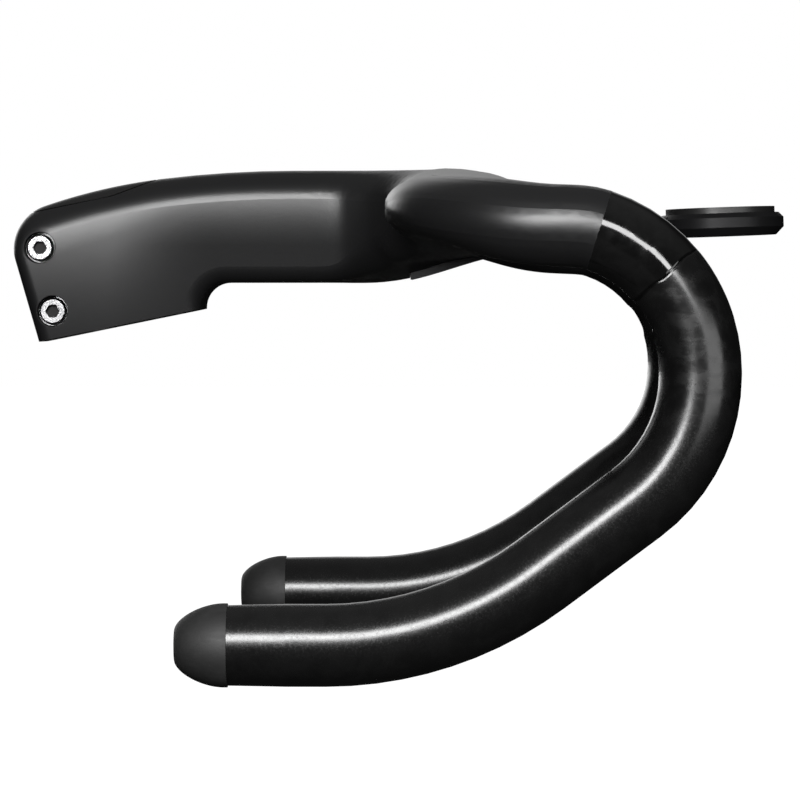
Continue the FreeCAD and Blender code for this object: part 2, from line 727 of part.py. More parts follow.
def cover_region(name, lift):
    """Everything above the cover's seat: level across the steerer, then rising to the stem's top."""
    tall = size("stem_roof") * 2.0
    seat = size("collar_height") + lift
    bend = at_collar(size("cover_ramp"), 0, seat)
    ramp = math.radians(size("cover_ramp_angle"))
    front = bend + Vector(math.cos(ramp), 0, math.sin(ramp)) * size("stem_end")
    points = [
        at_collar(-size("stem_end"), 0, seat),
        bend,
        front,
        Vector(front.x, 0, tall),
        Vector(-size("stem_end") - tall, 0, tall),
    ]
    return extrusion(name, polygon(points), "2 * sizes.stem_width")


def base_screw_frames():
    """Place and tilt of the two screws: just inside the base plate's lower face, square to it."""
    frames = []
    for x in (size("base_screw_rear"), size("base_screw_front")):
        height, slope = belly(x)
        tilt = Rotation(Vector(0, 1, 0), -math.degrees(math.atan(slope)))
        frames.append(Placement(Vector(x, 0, height - size("base_proud") + size("base_screw_sink")), tilt))
    return frames


def lifted(frame, height):
    return frame.multiply(Placement(Vector(0, 0, height), Rotation()))


def handlebar_body(blank):
    outer_half = half_shell("outer_half", 0.0, size("stem_end"))
    outer_left = fuse("outer_left", [outer_half] + drop_tube("outer", "0"))
    outer = fuse("outer_form", [blank, outer_left, mirror("outer_right", outer_left)])

    mouth = cylinder(
        "drop_mouth", "sizes.tail_diameter / 2 - sizes.wall", "2 * sizes.wall",
        Placement(drop_end(1) + Vector(size("wall"), 0, 0), BACKWARD))
    inner_half = half_shell("inner_half", size("wall"), size("cavity_start"))
    inner_left = fuse("inner_left", [inner_half] + drop_tube("inner", "sizes.wall") + [mouth])
    inner_all = fuse("inner_form", [inner_left, mirror("inner_right", inner_left), hose_chamber()])
    seat = size("base_thickness") - size("base_proud")
    margin = size("base_insert")
    boss_rear = size("base_rear") - margin
    beyond = size("base_front") + 2.0 * margin
    boss = extrusion(
        "mount_boss", belly_band(-margin, seat + size("boss_height"), boss_rear, beyond),
        "sizes.base_width + 2 * sizes.wall")
    hollow = boolean("Cut", "hollow", inner_all, boss)
    shell = boolean("Cut", "bare_shell", outer, hollow)

    bore = cylinder(
        "bore_tool", "sizes.steerer_bore / 2", "2 * sizes.collar_height",
        Placement(at_collar(0, 0, -size("collar_height") / 2.0), STEERER))
    slit = doc.addObject("Part::Box", "slit_tool")
    slit.setExpression("Length", "2 * sizes.bolt_setback")
    slit.setExpression("Width", "sizes.clamp_slit")
    slit.setExpression("Height", "2 * sizes.collar_height")
    low = -size("collar_height") / 2.0
    slit.Placement = Placement(
        at_collar(-2.0 * size("bolt_setback"), -size("clamp_slit") / 2.0, low), STEERER)
    recess_rear = size("base_rear") - size("base_gap")
    recess = extrusion(
        "recess_tool", belly_band(-2.0 * margin, seat, recess_rear, beyond),
        "sizes.base_width + 2 * sizes.base_gap")
    ring_seat = cylinder(
        "ring_seat_tool",
        "sizes.steerer_bore / 2 + sizes.cover_skirt_play + sizes.cover_skirt_wall + sizes.fit / 2",
        "2 * sizes.cover_skirt",
        Placement(at_collar(0, 0, size("collar_height") - size("cover_skirt")), STEERER))
    port = hose_port("port_left")
    tools = [bore, ring_seat, slit, recess, port, mirror("port_right", port), cover_region("cover_room", 0.0)]
    tools += hose_passage() + bolt_bores()
    for index, frame in enumerate(base_screw_frames()):
        tools.append(cylinder(
            "insert_bore_%d" % index, "sizes.base_insert / 2 + sizes.fit / 2",
            "sizes.base_insert_length + sizes.base_thickness",
            lifted(frame, size("fit"))))
    return boolean("Cut", "handlebar_body", shell, fuse("moulding_cuts", tools))


# Pinch bolts, washers and barrel nuts, each along Y from the right side of the stem.

def steerer_clamp_bolts():
    seat = -size("stem_width") / 2.0 + size("counterbore_depth") - size("washer_thickness")
    bolts = []
    for index, place in enumerate(bolt_places()):
        name = "clamp_bolt_%d" % index
        under_head = place + Vector(0, seat, 0)
        head_face = under_head - Vector(0, size("bolt_head_height"), 0)
        rim = cone(
            name + "_rim", "sizes.bolt_head / 2 - sizes.bolt_chamfer", "sizes.bolt_head / 2",
            "sizes.bolt_chamfer", Placement(head_face, LEFTWARD))
        head = cylinder(
            name + "_head", "sizes.bolt_head / 2", "sizes.bolt_head_height - sizes.bolt_chamfer",
            Placement(head_face + Vector(0, size("bolt_chamfer"), 0), LEFTWARD))
        shank = cylinder(
            name + "_shank", "sizes.bolt_thread / 2", "sizes.bolt_length", Placement(under_head, LEFTWARD))
        socket = hexagon(
            name + "_socket", "sizes.bolt_key", "sizes.bolt_head_height / 2", Placement(head_face, LEFTWARD))
        bolts.append(boolean("Cut", name, fuse(name + "_blank", [rim, head, shank]), socket))
    return group("steerer_clamp_bolts", bolts)


def steerer_clamp_washers():
    seat = -size("stem_width") / 2.0 + size("counterbore_depth") - size("washer_thickness")
    washers = []
    for index, place in enumerate(bolt_places()):
        name = "clamp_washer_%d" % index
        frame = Placement(place + Vector(0, seat, 0), LEFTWARD)
        disc = cylinder(name + "_disc", "sizes.washer_diameter / 2", "sizes.washer_thickness", frame)
        hole = cylinder(
            name + "_hole", "sizes.bolt_thread / 2 + sizes.bolt_play / 2", "sizes.washer_thickness", frame)
        washers.append(boolean("Cut", name, disc, hole))
    return group("steerer_clamp_washers", washers)


def steerer_clamp_nuts():
    flange_seat = size("stem_width") / 2.0 - size("nut_sink") - size("nut_flange_height")
    nuts = []
    for index, place in enumerate(bolt_places()):
        name = "clamp_nut_%d" % index
        barrel_frame = Placement(place + Vector(0, flange_seat - size("nut_length"), 0), LEFTWARD)
        barrel = cylinder(
            name + "_barrel", "sizes.nut_diameter / 2", "sizes.nut_length + sizes.nut_flange_height",
            barrel_frame)
        flange = cylinder(
            name + "_flange", "sizes.nut_flange / 2", "sizes.nut_flange_height",
            Placement(place + Vector(0, flange_seat, 0), LEFTWARD))
        thread = cylinder(
            name + "_thread", "sizes.bolt_thread / 2 + sizes.fit / 2",
            "sizes.nut_length + sizes.nut_flange_height", barrel_frame)
        nuts.append(boolean("Cut", name, fuse(name + "_blank", [barrel, flange]), thread))
    return group("steerer_clamp_nuts", nuts)


# Cover over the steerer: the top of the stem above the seat, on a ring that stands in a counterbore.

def steerer_top_cover(blank):
    lid = boolean("Common", "cover_lid", blank, cover_region("cover_form", size("cover_gap")))
    foot = at_collar(0, 0, size("collar_height") - size("cover_skirt"))
    ring = cylinder(
        "cover_ring", "sizes.steerer_bore / 2 + sizes.cover_skirt_play + sizes.cover_skirt_wall",
        "sizes.cover_skirt + 2 * sizes.cover_gap",
        Placement(foot, STEERER))
    core = cylinder(
        "cover_core", "sizes.steerer_bore / 2 + sizes.cover_skirt_play",
        "sizes.cover_skirt + sizes.cover_gap",
        Placement(foot, STEERER))
    return boolean("Cut", "steerer_top_cover", fuse("cover_blank", [lid, ring]), core)


# Bar end plugs: a domed head against the tube's end and a ribbed stem inside it.

def bar_end_plug(name, side):
    end = drop_end(side)
    head = size("plug_flange") / 2.0
    face = size("plug_face") / 2.0
    core = size("plug_core") / 2.0
    rib = size("tail_diameter") / 2.0 - size("wall") - size("fit")
    lip = size("plug_rib") / 2.0

    def at(inward, radius):
        return end + Vector(inward, 0, radius)

    stem = [at(0, core)]
    pitch = (size("plug_stem") - size("plug_rib") - lip) / max(size("plug_ribs") - 1.0, 1.0)
    for index in range(int(size("plug_ribs"))):
        start = lip + index * pitch
        end_of_rib = start + size("plug_rib")
        stem += [at(start, core), at(start, rib), at(end_of_rib, rib - lip / 4.0), at(end_of_rib, core)]
    stem.append(at(stem[-1].x - end.x, 0))
    outline = [at(-size("plug_head"), 0), at(-size("plug_head"), face)]
    dome = conic(outline[1], at(-size("plug_head"), head), at(-lip, head), DOME)
    edges = [Part.LineSegment(outline[0], outline[1]).toShape(), dome]
    chain = [at(-lip, head), at(0, head)] + stem + [outline[0]]
    edges += [Part.LineSegment(a, b).toShape() for a, b in zip(chain, chain[1:])]
    profile = feature(name + "_profile", Part.Wire(edges))
    plug = doc.addObject("Part::Revolution", name)
    plug.Source = profile
    plug.Axis = Vector(1, 0, 0)
    plug.Base = end
    plug.Angle = 360
    plug.Solid = True
    return plug


# Computer mount: base plate in its recess, arm, and a round cup.

CUP = Placement(
    Vector(size("cup_centre"), 0, size("cup_height")), Rotation(Vector(0, 1, 0), -size("cup_tilt")))


def cradle_screw_frames():
    half = size("cradle_screw_spacing") / 2.0
    return [CUP.multiply(Placement(Vector(0, side * half, 0), Rotation())) for side in (-1, 1)]


def arm_outline():
    rear = size("base_front") - size("base_thickness")
    front = size("cup_centre") - size("cup_diameter") / 2.0 + 2.0 * size("base_thickness")
    ends = (belly(rear)[0], size("cup_height") + size("cup_low_chamfer") / 2.0)
    low_points = []
    high_points = []
    for share in (0.0, 0.2, 0.4, 0.6, 0.8, 1.0):
        low = Vector(between(rear, front, share), 0, between(*ends, (share + blend(share)) / 2.0))
        thickness = between(size("arm_root"), size("arm_thickness"), blend(share / ARM_SWELL))
        low_points.append(low)
        high_points.append(low + Vector(0, 0, thickness))
    curves = []
    for points in (low_points, high_points):
        curve = Part.BSplineCurve()
        curve.interpolate(points)
        curves.append(curve)
    return joined(*curves)


def computer_mount_arm():
    seat = size("base_thickness") - size("base_proud") - 2.0 * size("fit")
    plate = extrusion(
        "base_plate", belly_band(-size("base_proud"), seat, size("base_rear"), size("base_front")),
        "sizes.base_width")
    arm = extrusion("arm_bar", arm_outline(), "sizes.arm_width")
    low = cone(
        "cup_low", "sizes.cup_diameter / 2 - sizes.cup_low_chamfer", "sizes.cup_diameter / 2",
        "sizes.cup_low_chamfer", CUP)
    band = cylinder(
        "cup_band", "sizes.cup_diameter / 2",
        "sizes.cup_thickness - sizes.cup_low_chamfer - sizes.cup_top_chamfer",
        lifted(CUP, size("cup_low_chamfer")))
    top = cone(
        "cup_top", "sizes.cup_diameter / 2", "sizes.cup_diameter / 2 - sizes.cup_top_chamfer",
        "sizes.cup_top_chamfer", lifted(CUP, size("cup_thickness") - size("cup_top_chamfer")))
    tools = [cylinder(
        "cup_pocket", "sizes.cradle_diameter / 2 + sizes.fit / 2", "2 * sizes.cradle_sink",
        lifted(CUP, size("cup_thickness") - size("cradle_sink")))]
    for index, frame in enumerate(cradle_screw_frames()):
        tools.append(cylinder(
            "cup_screw_hole_%d" % index, "sizes.cradle_screw / 2 + sizes.fit", "sizes.cup_thickness", frame))
        tools.append(cylinder(
            "cup_screw_seat_%d" % index, "sizes.cradle_screw_head / 2 + sizes.fit",
            "2 * sizes.cradle_screw_head_height + 2 * sizes.fit",
            lifted(frame, -size("cradle_screw_head_height"))))
    for index, frame in enumerate(base_screw_frames()):
        tools.append(cylinder(
            "base_screw_hole_%d" % index, "sizes.base_screw / 2 + sizes.fit", "2 * sizes.base_thickness",
            lifted(frame, -size("base_thickness") / 2.0)))
        tools.append(cylinder(
            "base_screw_rim_%d" % index, "sizes.base_screw_head / 2 + 2 * sizes.fit", "sizes.base_thickness",
            lifted(frame, -size("base_thickness"))))
        tools.append(cone(
            "base_screw_sink_%d" % index, "sizes.base_screw_head / 2 + 2 * sizes.fit",
            "sizes.base_screw / 2 + sizes.fit / 2",
            "sizes.base_screw_head / 2 - sizes.base_screw / 2 + 1.5 * sizes.fit", frame))
    blank = fuse("mount_blank", [plate, arm, low, band, top])
    return boolean("Cut", "computer_mount_arm", blank, fuse("mount_cuts", tools))


def mount_screws():
    screws = []
    for index, frame in enumerate(base_screw_frames()):
        name = "mount_screw_%d" % index
        frame = lifted(frame, size("fit"))
        head = cone(
            name + "_head", "sizes.base_screw_head / 2", "sizes.base_screw / 2",
            "sizes.base_screw_head / 2 - sizes.base_screw / 2", frame)
        shank = cylinder(name + "_shank", "sizes.base_screw / 2", "sizes.base_screw_length", frame)
        socket = hexagon(
            name + "_socket", "sizes.base_screw_key", "sizes.base_screw_head / 2 - sizes.base_screw / 2",
            frame)
        screws.append(boolean("Cut", name, fuse(name + "_blank", [head, shank]), socket))
    return group("mount_screws", screws)


def mount_inserts():
    inserts = []
    for index, frame in enumerate(base_screw_frames()):
        name = "mount_insert_%d" % index
        frame = lifted(frame, size("base_thickness") + size("fit"))
        sleeve = cylinder(
            name + "_sleeve", "sizes.base_insert / 2", "sizes.base_insert_length - sizes.fit", frame)
        thread = cylinder(
            name + "_thread", "sizes.base_screw / 2 + sizes.fit / 2", "sizes.base_insert_length", frame)
        inserts.append(boolean("Cut", name, sleeve, thread))
    return group("mount_inserts", inserts)


# Bayonet cradle in the cup, and the screws that hold it from below.

def computer_cradle():
    top = size("cup_thickness") + size("cradle_proud")
    disc = cylinder(
        "cradle_disc", "sizes.cradle_diameter / 2", "sizes.cradle_sink + sizes.cradle_proud",
        lifted(CUP, size("cup_thickness") - size("cradle_sink")))
    bore = cylinder(
        "cradle_bore", "sizes.bayonet_bore / 2", "2 * sizes.bayonet_depth",
        lifted(CUP, top - size("bayonet_depth")))
    track = cylinder(
        "cradle_track", "sizes.bayonet_track / 2", "sizes.bayonet_depth - sizes.bayonet_lip",
        lifted(CUP, top - size("bayonet_depth")))
    slot = doc.addObject("Part::Box", "cradle_slot")
    slot.setExpression("Length", "sizes.bayonet_slot")
    slot.setExpression("Width", "sizes.bayonet_track")
    slot.setExpression("Height", "2 * sizes.bayonet_depth")
    corner = Vector(-size("bayonet_slot") / 2.0, -size("bayonet_track") / 2.0, top - size("bayonet_depth"))
    slot.Placement = CUP.multiply(Placement(corner, Rotation()))
    rounded = boolean("Common", "cradle_entry", slot, cylinder(
        "cradle_entry_round", "sizes.bayonet_track / 2", "2 * sizes.bayonet_depth",
        lifted(CUP, top - size("bayonet_depth"))))
    tools = [bore, track, rounded]
    for index, frame in enumerate(cradle_screw_frames()):
        tools.append(cylinder(
            "cradle_thread_%d" % index, "sizes.cradle_screw / 2 + sizes.fit / 2",
            "2 * sizes.cup_thickness", frame))
    return boolean("Cut", "computer_cradle", disc, fuse("cradle_cuts", tools))


def cradle_screws():
    screws = []
    for index, frame in enumerate(cradle_screw_frames()):
        name = "cradle_screw_%d" % index
        frame = lifted(frame, size("fit"))
        head = cylinder(
            name + "_head", "sizes.cradle_screw_head / 2", "sizes.cradle_screw_head_height", frame)
        shank = cylinder(
            name + "_shank", "sizes.cradle_screw / 2",
            "sizes.cup_thickness + sizes.cradle_proud - sizes.bayonet_depth - 2 * sizes.fit", frame)
        socket = hexagon(name + "_socket", "sizes.cradle_screw / 2", "sizes.cradle_screw_head_height", frame)
        screws.append(boolean("Cut", name, fuse(name + "_blank", [head, shank]), socket))
    return group("cradle_screws", screws)


blank = stem_blank()
nodes = [
    handlebar_body(blank),
    steerer_clamp_bolts(),
    steerer_clamp_washers(),
    steerer_clamp_nuts(),
    steerer_top_cover(blank),
    bar_end_plug("bar_end_plug_left", 1),
    bar_end_plug("bar_end_plug_right", -1),
    computer_mount_arm(),
    mount_screws(),
    mount_inserts(),
    computer_cradle(),
    cradle_screws(),
]
doc.recompute()

for obj in doc.Objects:
    if "Invalid" in obj.State or "Error" in obj.State:
        raise RuntimeError("%s did not compute" % obj.Name)
for node in nodes:
    node.Label = node.Name
    if node.Shape.isNull() or not node.Shape.isValid():
        raise RuntimeError("%s has no valid shape" % node.Label)

os.makedirs("parts", exist_ok=True)
for node in nodes:
    node.Shape.exportStep("parts/%s.step" % node.Label)
    print("%-24s %2d solids %12.1f mm3" % (node.Label, len(node.Shape.Solids), node.Shape.Volume))
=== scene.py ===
import json
import math

import bpy
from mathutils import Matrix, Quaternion, Vector

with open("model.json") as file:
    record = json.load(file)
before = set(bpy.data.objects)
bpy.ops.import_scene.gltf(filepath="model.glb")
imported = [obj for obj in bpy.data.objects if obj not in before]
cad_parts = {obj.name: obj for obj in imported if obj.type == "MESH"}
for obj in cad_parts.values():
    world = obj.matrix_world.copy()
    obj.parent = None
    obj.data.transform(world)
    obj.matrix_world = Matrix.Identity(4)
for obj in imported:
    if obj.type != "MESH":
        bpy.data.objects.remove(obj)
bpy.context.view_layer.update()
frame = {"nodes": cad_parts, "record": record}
scene = bpy.context.scene
scene.view_settings.view_transform = "Standard"

# Places on the object that the finishes follow, in metres, with leans in degrees forward from upright.
DROP_SIDE = (0.1495, 0.1505)          # distances to the side from which the bar is a hook or drop
PAINT_EDGE = (0.1531, 0.0290)         # x, z of a point on the line where the paint ends
PAINT_LEAN = 17.6                     # lean of that line
PAINT_CHIPS = 0.0008                  # width within which that edge strays
PAINT_BLUR = 0.00008                  # how far to each side of its edge the paint thins out
ALL_BARE = (0.010, 0.014)             # heights below which a hook or drop has no paint at all
HOOK_MIDDLE = (0.13887, -0.01267)     # x, z of the upper hook's centre
WRAP_LEAN = 49.6                      # lean of the seam through it, where the outer wrap begins
SEAM_STRAY = 0.0016                   # width within which that seam strays
SEAM_BLUR = 0.0001                    # how far to each side of it the wrap thins out
SEAM_GROOVE = (0.0002, 0.0007)        # distances from the seam at which its groove ends
SEAM_FOOT = (0.000, 0.006)            # heights below which that groove fades
HAZE_FOOT = (-0.031, -0.019)          # heights below which the wrap's haze fades
BOLTS = ((-0.01906, 0.00490), (-0.02313, 0.02489))   # x, z of the pinch bolts
BOLT_FACE = -0.0196                   # y of their outer faces
SOCKET_SHADE_DEPTH = (0.0007, 0.0014)       # depths below a face over which painted shade begins in the bolts' sockets
COUNTERBORE = (0.0050, 0.0053)        # distances from a bolt's axis at which its counterbore ends

# The bow that shading gives the stem's flat sides, in metres. A bend is a height per distance squared.
SIDE_MIDDLE = 0.0385                  # height at which a side faces straight out
SIDE_BEND = -8.0
BOW_REACH = 0.013                     # how far above and below that height the slope goes on growing
COLLAR_MIDDLE = 0.0313                # height at which the collar's side faces straight out
COLLAR_BEND = -2.62
BROW_FOOT = 0.0285                    # height, at x = 0, above which the collar bends more
BROW_CLIMB = 0.35                     # how fast that height climbs forward
BROW_BEND = -4.0
STEM_START = (-0.002, 0.034)          # x over which the collar's bow turns into the side's
STEM_END = (0.074, 0.094)             # x over which it turns back
BOW_END = (0.12, 0.16)                # distances to the side over which the bow fades

# The photograph's camera: its place in metres, and the rest in the photograph's pixels.
CAMERA_PLACE = (0.1502, -2.262, 0.0050)
PICTURE_WIDTH = 800.0
FOCAL_LENGTH = 7131.0
PICTURE_MIDDLE = (-190.2, -89.3)      # right and up from the point straight ahead, along +Y

# The floor, in metres.
FLOOR_LEVEL = -0.45
FLOOR_HALF = 40.0
FLOOR_GLOW = (1.0, 4.0)               # distances from the origin over which its glow rises to white


def rgb(red, green, blue):
    return (red, green, blue, 1.0)


def grey(level, blue=0.0):
    """A grey, with as much more blue as is given."""
    return rgb(level, level, level + blue)


class Nodes:
    """Short calls that add nodes to a tree. A value is a number, a colour or another node's socket."""

    def __init__(self, tree):
        self.tree = tree

    def node(self, kind, **settings):
        made = self.tree.nodes.new(kind)
        for key, value in settings.items():
            setattr(made, key, value)
        return made

    def feed(self, socket, value):
        if isinstance(value, bpy.types.NodeSocket):
            self.tree.links.new(value, socket)
        else:
            socket.default_value = value

    def math(self, operation, *values):
        made = self.node("ShaderNodeMath", operation=operation)
        for socket, value in zip(made.inputs, values):
            self.feed(socket, value)
        return made.outputs[0]

    def plus(self, first, second):
        return self.math("ADD", first, second)

    def minus(self, first, second):
        return self.math("SUBTRACT", first, second)

    def times(self, product, *factors):
        for factor in factors:
            product = self.math("MULTIPLY", product, factor)
        return product

    def absolute(self, value):
        return self.math("ABSOLUTE", value)

    def least(self, first, second):
        return self.math("MINIMUM", first, second)

    def most(self, first, second):
        return self.math("MAXIMUM", first, second)

    def axes(self, place):
        made = self.node("ShaderNodeSeparateXYZ")
        self.feed(made.inputs[0], place)
        return made.outputs

    def spread(self, value, low, high, to_low=0.0, to_high=1.0, blend="SMOOTHSTEP"):
        """Takes the range from low to high onto another one, and holds its ends beyond it."""
        made = self.node("ShaderNodeMapRange", interpolation_type=blend)
        self.feed(made.inputs["Value"], value)
        made.inputs["From Min"].default_value = low
        made.inputs["From Max"].default_value = high
        made.inputs["To Min"].default_value = to_low
        made.inputs["To Max"].default_value = to_high
        return made.outputs["Result"]

    def between(self, kind, sockets, share, first, second):
        """The Mix node's sockets for each kind share their names, so they are taken by number."""
        made = self.node("ShaderNodeMix", data_type=kind)
        self.feed(made.inputs[0], share)
        self.feed(made.inputs[sockets[0]], first)
        self.feed(made.inputs[sockets[1]], second)
        return made.outputs[sockets[2]]

    def mix(self, share, first, second):
        """Goes from the first number to the second."""
        return self.between("FLOAT", (2, 3, 0), share, first, second)

    def tint(self, share, first, second):
        """Goes from the first colour to the second."""
        return self.between("RGBA", (6, 7, 2), share, first, second)


class Finish(Nodes):
    """A material with one Principled shader, and calls for the patterns that feed it."""

    def __init__(self, name, **constants):
        self.material = bpy.data.materials.new(name)
        self.material.use_nodes = True
        super().__init__(self.material.node_tree)
        self.shader = self.tree.nodes["Principled BSDF"]
        self.place = self.node("ShaderNodeTexCoord").outputs["Object"]
        self.set(**constants)

    def set(self, **sockets):
        """Feeds the shader's sockets, which are named with underscores for spaces."""
        for key, value in sockets.items():
            self.feed(self.shader.inputs[key.replace("_", " ")], value)
        return self.material

    def stretched(self, scale):
        made = self.node("ShaderNodeMapping")
        self.feed(made.inputs["Vector"], self.place)
        made.inputs["Scale"].default_value = scale
        return made.outputs[0]

    def noise(self, scale, detail=2.0, roughness=0.5, where=None, distortion=0.0):
        """Cloudy noise from 0 to 1, with about as many blotches in a metre as its scale."""
        made = self.node("ShaderNodeTexNoise")
        self.feed(made.inputs["Vector"], where or self.place)
        made.inputs["Scale"].default_value = scale
        made.inputs["Detail"].default_value = detail
        made.inputs["Roughness"].default_value = roughness
        made.inputs["Distortion"].default_value = distortion
        return made.outputs["Fac"]

    def wander(self, width, scale, detail, roughness=0.5):
        """Noise about 0, as a length."""
        return self.times(self.minus(self.noise(scale, detail, roughness), 0.5), width)

    def cells(self, scale):
        """Distance from the middle of each cell."""
        made = self.node("ShaderNodeTexVoronoi")
        self.feed(made.inputs["Vector"], self.place)
        made.inputs["Scale"].default_value = scale
        return made.outputs["Distance"]

    def away(self, x, z, point):
        """Distance from a line along Y through a point."""
        ahead = self.minus(x, point[0])
        up = self.minus(z, point[1])
        return self.math("SQRT", self.plus(self.times(ahead, ahead), self.times(up, up)))

    def past(self, x, z, point, lean):
        """Distance ahead of a leaning line through a point."""
        ahead = self.times(self.minus(x, point[0]), math.cos(math.radians(lean)))
        up = self.times(self.minus(z, point[1]), math.sin(math.radians(lean)))
        return self.minus(ahead, up)

    def bump(self, height, depth, strength=1.0, over=None):
        """Tilts the shading by a height, on top of another bump where one is given."""
        made = self.node("ShaderNodeBump")
        made.inputs["Strength"].default_value = strength
        made.inputs["Distance"].default_value = depth
        self.feed(made.inputs["Height"], height)
        if over is not None:
            self.feed(made.inputs["Normal"], over)
        return made.outputs[0]


# Finishes, one for each material slot.

def stem_bow(look, x, z, aside):
    """Bump that rounds the stem's sides a little, in one way on the collar and in another ahead of it."""
    rise = look.absolute(look.minus(z, SIDE_MIDDLE))
    near = look.least(rise, BOW_REACH)
    side = look.times(near, look.minus(look.plus(rise, rise), near), SIDE_BEND)
    lift = look.minus(z, COLLAR_MIDDLE)
    brow = look.most(look.minus(look.minus(z, look.times(x, BROW_CLIMB)), BROW_FOOT), 0.0)
    collar = look.plus(look.times(brow, brow, BROW_BEND), look.times(lift, lift, COLLAR_BEND))
    forward = look.times(look.spread(x, *STEM_START), look.spread(x, *STEM_END, 1.0, 0.0))
    inner = look.spread(aside, *BOW_END, 1.0, 0.0)
    return look.bump(look.times(look.mix(forward, collar, side), inner), depth=1.0)


def carbon():
    """Satin paint on stem, tops and ramps; bare glossy laminate on hooks and drops."""
    look = Finish("carbon_moulding", IOR=1.5)
    x, y, z = look.axes(look.place)
    aside = look.absolute(y)

    # Where the paint ends, and where the laminate's outer wrap begins.
    low = look.spread(z, *ALL_BARE, 1.0, 0.0)
    chipped = look.plus(look.past(x, z, PAINT_EDGE, PAINT_LEAN), look.wander(PAINT_CHIPS, 420.0, 3.0, 0.6))
    unpainted = look.most(look.spread(chipped, -PAINT_BLUR, PAINT_BLUR), low)
    bare = look.times(unpainted, look.spread(aside, *DROP_SIDE))
    painted = look.minus(1.0, bare)
    seam = look.plus(look.past(x, z, HOOK_MIDDLE, WRAP_LEAN), look.wander(SEAM_STRAY, 160.0, 2.0))
    wrap = look.most(look.spread(seam, -SEAM_BLUR, SEAM_BLUR), low)
    groove = look.spread(look.absolute(seam), *SEAM_GROOVE, 1.0, 0.0)
    groove = look.times(groove, bare, look.spread(z, *SEAM_FOOT))
    hazy = look.times(wrap, look.spread(z, *HAZE_FOOT))
    # The counterbores, cut after painting, are dull; their darker colour is painted shade in those
    # recesses.
    shaded_dull_counterbore = look.most(*(look.spread(look.away(x, z, bolt), *COUNTERBORE, 1.0, 0.0) for bolt in BOLTS))

    grain = look.noise(3600.0, 2.0, 0.6)
    clouds = look.noise(26.0, 3.0, 0.55)
    mottle = look.noise(150.0, 5.0, 0.6, distortion=0.4)
    specks = look.noise(1400.0, 2.0, 0.7)
    streaks = look.noise(70.0, 3.0, 0.6, where=look.stretched((1.0, 6.0, 4.0)))

    paint = look.tint(clouds, grey(0.0055, 0.0003), grey(0.0085, 0.0003))
    laminate = look.tint(look.spread(mottle, 0.35, 0.7), grey(0.0030), grey(0.0048))
    colour = look.tint(bare, paint, laminate)
    colour = look.tint(groove, colour, grey(0.001))
    # painted shade: the counterbores around the bolts are coloured darker
    colour = look.tint(shaded_dull_counterbore, colour, grey(0.002))

    paint_rough = look.mix(shaded_dull_counterbore, look.mix(grain, 0.32, 0.39), 0.85)
    clear_rough = look.mix(look.spread(specks, 0.35, 0.75), 0.21, 0.29)
    hazy_rough = look.mix(look.spread(look.times(mottle, streaks), 0.14, 0.38), 0.20, 0.32)
    under_rough = look.mix(look.spread(mottle, 0.4, 0.65), 0.07, 0.13)
    laminate_rough = look.mix(wrap, under_rough, look.mix(hazy, clear_rough, hazy_rough))

    sides = stem_bow(look, x, z, aside)
    fine = look.bump(look.times(grain, painted), depth=0.000030, strength=0.5, over=sides)
    facets = look.times(look.cells(70.0), bare, look.minus(1.0, wrap))
    ripple = look.times(look.noise(90.0), bare, wrap)
    lumps = look.bump(look.plus(facets, look.times(ripple, 0.12)), depth=0.0009, strength=0.5, over=fine)
    edges = look.bump(look.minus(painted, groove), depth=0.00012, strength=0.8, over=lumps)
    return look.set(Base_Color=colour, Roughness=look.mix(bare, paint_rough, laminate_rough), Normal=edges)


def plastic():
    """Moulded black plastic with a spark-eroded grain."""
    look = Finish("black_plastic")
    pits = look.noise(2400.0, 3.0, 0.6)
    clouds = look.noise(60.0, 3.0)
    return look.set(
        Base_Color=look.tint(clouds, grey(0.007), grey(0.010)),
        Roughness=look.mix(pits, 0.32, 0.44), Normal=look.bump(pits, depth=0.00005, strength=0.5))


def rubber():
    """Dull rubber with a little bloom and scuffs."""
    look = Finish("plug_rubber")
    pores = look.noise(2200.0, 3.0, 0.65)
    bloom = look.noise(90.0, 4.0, 0.6)
    scuffs = look.noise(240.0, where=look.stretched((1.0, 5.0, 5.0)))
    return look.set(
        Base_Color=look.tint(look.spread(bloom, 0.4, 0.75), grey(0.010), grey(0.019)),
        Roughness=look.mix(scuffs, 0.52, 0.72), Normal=look.bump(pores, depth=0.00006, strength=0.6))


def anodised():
    """Black anodised aluminium over fine machining marks."""
    look = Finish("anodised_aluminium", Metallic=0.35, Specular_IOR_Level=0.2)
    marks = look.noise(700.0, 2.0, 0.6, where=look.stretched((1.0, 8.0, 8.0)))
    dye = look.noise(70.0, 3.0)
    return look.set(
        Base_Color=look.tint(dye, grey(0.006), grey(0.011, 0.001)),
        Roughness=look.mix(marks, 0.36, 0.46), Normal=look.bump(marks, depth=0.00002, strength=0.5))


def turned(name, light, dark, rough, face=None):
    """Turned metal with fine scratches and a trace of handling; deeper than a face, darker and rougher, a
    painted shade in the bolts' hex sockets.
    """
    look = Finish(name, Metallic=1.0)
    turning = look.noise(1500.0, 3.0, 0.6, where=look.stretched((1.0, 0.2, 1.0)))
    stains = look.noise(300.0, 4.0, 0.6)
    colour = look.tint(look.spread(stains, 0.3, 0.7), light, dark)
    roughness = look.mix(turning, rough - 0.05, rough + 0.08)
    if face is not None:
        y = look.axes(look.place)[1]
        shaded_socket = look.spread(look.minus(y, face), *SOCKET_SHADE_DEPTH)
        # painted shade: the colour darkens deeper than the face, in the hex sockets
        colour = look.tint(shaded_socket, colour, grey(0.012))
        roughness = look.mix(shaded_socket, roughness, 0.45)
    scratches = look.bump(turning, depth=0.000002, strength=0.4)
    return look.set(Base_Color=colour, Roughness=roughness, Normal=scratches)


